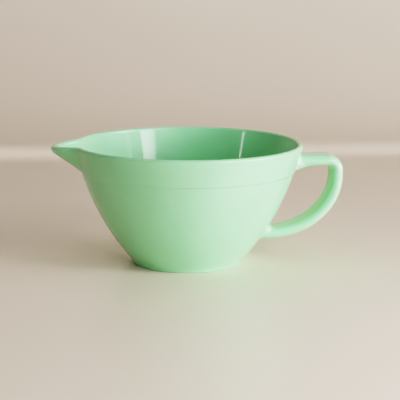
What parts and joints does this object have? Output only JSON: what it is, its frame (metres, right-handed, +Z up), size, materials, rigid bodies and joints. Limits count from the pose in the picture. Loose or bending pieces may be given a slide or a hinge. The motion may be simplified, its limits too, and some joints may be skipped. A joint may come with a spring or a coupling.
{
  "type": "mixing bowl",
  "caption": "Round mixing bowl in opaque green glass, with a raised band under the rim, a pouring spout and a ribbon handle opposite it.",
  "frame": {"origin": "on the bowl's axis, in the plane that the bowl stands on", "axes": "+Z up along the bowl's axis, +X from the axis out through the handle, so -X goes out through the spout, +Y across"},
  "size_m": [0.242, 0.19, 0.1],
  "materials": {
    "green_glass": "opaque pressed glass with a fire-polished gloss"
  },
  "bodies": {
    "root": {"foot_ring": "green_glass", "bowl_floor": "green_glass", "bowl_wall": "green_glass", "rim_band": "green_glass", "pouring_spout": "green_glass", "handle": "green_glass"}
  },
  "joints": []
}
